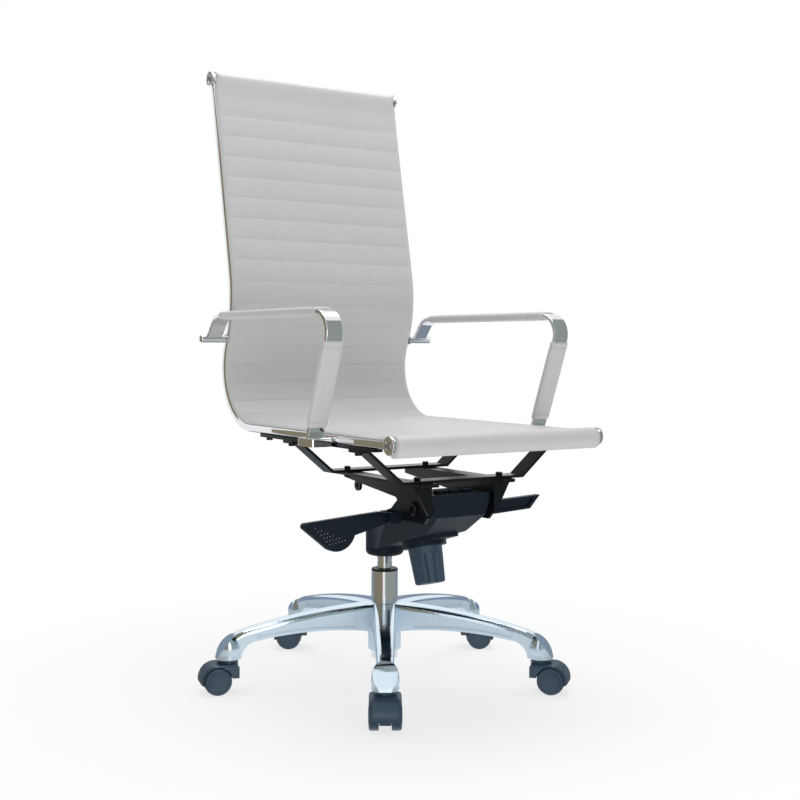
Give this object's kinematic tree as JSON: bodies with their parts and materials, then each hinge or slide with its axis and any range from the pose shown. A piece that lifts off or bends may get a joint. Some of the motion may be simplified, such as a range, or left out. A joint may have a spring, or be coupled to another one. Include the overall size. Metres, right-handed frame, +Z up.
{
  "type": "swivel office chair",
  "caption": "High-back swivel office chair: ribbed light sling on chromed side rails, loop arms, tilting seat, gas lift, polished star base on twin-wheel casters.",
  "frame": {"origin": "on the floor, on the axis of the column that the seat turns about", "axes": "+Z up, the chair faces -Y, +X to the sitter's left"},
  "size_m": [0.6822, 0.7181, 1.1754],
  "materials": {
    "light_leather": "soft satin, pale grey",
    "bright_chrome": "bright",
    "polished_aluminium": "polished",
    "black_paint": "gloss black",
    "black_plastic": "fine matte",
    "caster_plastic": "fine matte",
    "steel": "machined"
  },
  "bodies": {
    "base": {"star_base": "polished_aluminium", "stand_tube": "bright_chrome", "guide_bush": "black_plastic", "thrust_bearing": "steel", "caster_stems": "steel"},
    "lift_rod": {"piston_rod": "steel"},
    "chassis": {"pressure_tube": "bright_chrome", "release_button": "steel", "mechanism_housing": "black_plastic", "tension_spring": "steel"},
    "knob": {"tension_knob": "black_plastic", "tension_spindle": "steel"},
    "nut": {"spring_nut": "steel"},
    "height_lever": {"height_lever": "black_plastic"},
    "tilt_lever": {"tilt_lever": "black_plastic"},
    "seat": {"rail_left": "bright_chrome", "rail_right": "bright_chrome", "front_bar": "steel", "top_bar": "steel", "end_caps": "bright_chrome", "frame_screws": "steel", "sling": "light_leather", "back_stretcher": "black_paint", "arm_left": "bright_chrome", "arm_right": "bright_chrome", "arm_sleeve_left": "light_leather", "arm_sleeve_right": "light_leather", "post_sleeve_left": "light_leather", "post_sleeve_right": "light_leather", "side_strip_left": "black_paint", "side_strip_right": "black_paint", "strip_bolts": "steel", "front_strap": "black_paint", "rear_strap": "black_paint", "strap_bolts": "steel", "carrier_left": "black_paint", "carrier_right": "black_paint", "pivot_plate_left": "black_paint", "pivot_plate_right": "black_paint", "tilt_pivot": "black_paint"},
    "caster_1": {"caster_hood_1": "caster_plastic", "caster_axle_1": "steel"},
    "wheel_1_left": {"caster_wheel_1_left": "caster_plastic"},
    "wheel_1_right": {"caster_wheel_1_right": "caster_plastic"},
    "caster_2": {"caster_hood_2": "caster_plastic", "caster_axle_2": "steel"},
    "wheel_2_left": {"caster_wheel_2_left": "caster_plastic"},
    "wheel_2_right": {"caster_wheel_2_right": "caster_plastic"},
    "caster_3": {"caster_hood_3": "caster_plastic", "caster_axle_3": "steel"},
    "wheel_3_left": {"caster_wheel_3_left": "caster_plastic"},
    "wheel_3_right": {"caster_wheel_3_right": "caster_plastic"},
    "caster_4": {"caster_hood_4": "caster_plastic", "caster_axle_4": "steel"},
    "wheel_4_left": {"caster_wheel_4_left": "caster_plastic"},
    "wheel_4_right": {"caster_wheel_4_right": "caster_plastic"},
    "caster_5": {"caster_hood_5": "caster_plastic", "caster_axle_5": "steel"},
    "wheel_5_left": {"caster_wheel_5_left": "caster_plastic"},
    "wheel_5_right": {"caster_wheel_5_right": "caster_plastic"}
  },
  "joints": [
    {"name": "swivel", "type": "hinge", "parent": "base", "child": "lift_rod", "pos_m": [0, 0, 0.1], "axis": [0, 0, 1], "continuous": true},
    {"name": "lift", "type": "slide", "parent": "lift_rod", "child": "chassis", "axis": [0, 0, 1], "range_m": [-0.02, 0.08]},
    {"name": "tilt", "type": "hinge", "parent": "chassis", "child": "seat", "pos_m": [0, -0.206, 0.352], "axis": [-1, 0, 0], "range_deg": [0, 15], "stiffness_Nm_per_rad": 220, "springref_deg": -17.19},
    {"name": "knob_turn", "type": "hinge", "parent": "chassis", "child": "knob", "pos_m": [0, -0.132, 0.28325], "axis": [0, 0.2756, 0.9613], "range_deg": [-1080, 1080]},
    {"name": "nut_travel", "type": "slide", "parent": "chassis", "child": "nut", "axis": [0, 0.2756, 0.9613], "range_m": [-0.0062, 0.0062], "deforming": ["tension_spring"]},
    {"name": "height_lift", "type": "hinge", "parent": "chassis", "child": "height_lever", "pos_m": [-0.071, -0.125, 0.328], "axis": [0, 1, 0], "range_deg": [0, 12], "stiffness_Nm_per_rad": 1.5, "springref_deg": -22.92},
    {"name": "tilt_lock", "type": "hinge", "parent": "chassis", "child": "tilt_lever", "pos_m": [0.071, -0.125, 0.328], "axis": [0, 1, 0], "range_deg": [0, 16]},
    {"name": "caster_1_swivel", "type": "hinge", "parent": "base", "child": "caster_1", "pos_m": [-0.15951, -0.25526, 0.06], "axis": [0, 0, 1], "continuous": true},
    {"name": "wheel_1_left_spin", "type": "hinge", "parent": "caster_1", "child": "wheel_1_left", "pos_m": [-0.17116, -0.27392, 0.025], "axis": [0.848, -0.5299, 0], "continuous": true},
    {"name": "wheel_1_right_spin", "type": "hinge", "parent": "caster_1", "child": "wheel_1_right", "pos_m": [-0.17116, -0.27392, 0.025], "axis": [0.848, -0.5299, 0], "continuous": true},
    {"name": "caster_2_swivel", "type": "hinge", "parent": "base", "child": "caster_2", "pos_m": [0.19348, -0.23058, 0.06], "axis": [0, 0, 1], "continuous": true},
    {"name": "wheel_2_left_spin", "type": "hinge", "parent": "caster_2", "child": "wheel_2_left", "pos_m": [0.20762, -0.24743, 0.025], "axis": [0.766, 0.6428, 0], "continuous": true},
    {"name": "wheel_2_right_spin", "type": "hinge", "parent": "caster_2", "child": "wheel_2_right", "pos_m": [0.20762, -0.24743, 0.025], "axis": [0.766, 0.6428, 0], "continuous": true},
    {"name": "caster_3_swivel", "type": "hinge", "parent": "base", "child": "caster_3", "pos_m": [0.27908, 0.11276, 0.06], "axis": [0, 0, 1], "continuous": true},
    {"name": "wheel_3_left_spin", "type": "hinge", "parent": "caster_3", "child": "wheel_3_left", "pos_m": [0.29774, 0.1011, 0.025], "axis": [0.5299, 0.848, 0], "continuous": true},
    {"name": "wheel_3_right_spin", "type": "hinge", "parent": "caster_3", "child": "wheel_3_right", "pos_m": [0.29774, 0.1011, 0.025], "axis": [0.5299, 0.848, 0], "continuous": true},
    {"name": "caster_4_swivel", "type": "hinge", "parent": "base", "child": "caster_4", "pos_m": [-0.021, 0.30027, 0.06], "axis": [0, 0, 1], "continuous": true},
    {"name": "wheel_4_left_spin", "type": "hinge", "parent": "caster_4", "child": "wheel_4_left", "pos_m": [-0.03965, 0.31193, 0.025], "axis": [-0.5299, -0.848, 0], "continuous": true},
    {"name": "wheel_4_right_spin", "type": "hinge", "parent": "caster_4", "child": "wheel_4_right", "pos_m": [-0.03965, 0.31193, 0.025], "axis": [-0.5299, -0.848, 0], "continuous": true},
    {"name": "caster_5_swivel", "type": "hinge", "parent": "base", "child": "caster_5", "pos_m": [-0.29206, 0.07282, 0.06], "axis": [0, 0, 1], "continuous": true},
    {"name": "wheel_5_left_spin", "type": "hinge", "parent": "caster_5", "child": "wheel_5_left", "pos_m": [-0.31341, 0.07814, 0.025], "axis": [-0.2419, -0.9703, 0], "continuous": true},
    {"name": "wheel_5_right_spin", "type": "hinge", "parent": "caster_5", "child": "wheel_5_right", "pos_m": [-0.31341, 0.07814, 0.025], "axis": [-0.2419, -0.9703, 0], "continuous": true}
  ],
  "couplings": [
    {"joint": "nut_travel", "follows": "knob_turn", "m_per_rad": 0.000318}
  ]
}
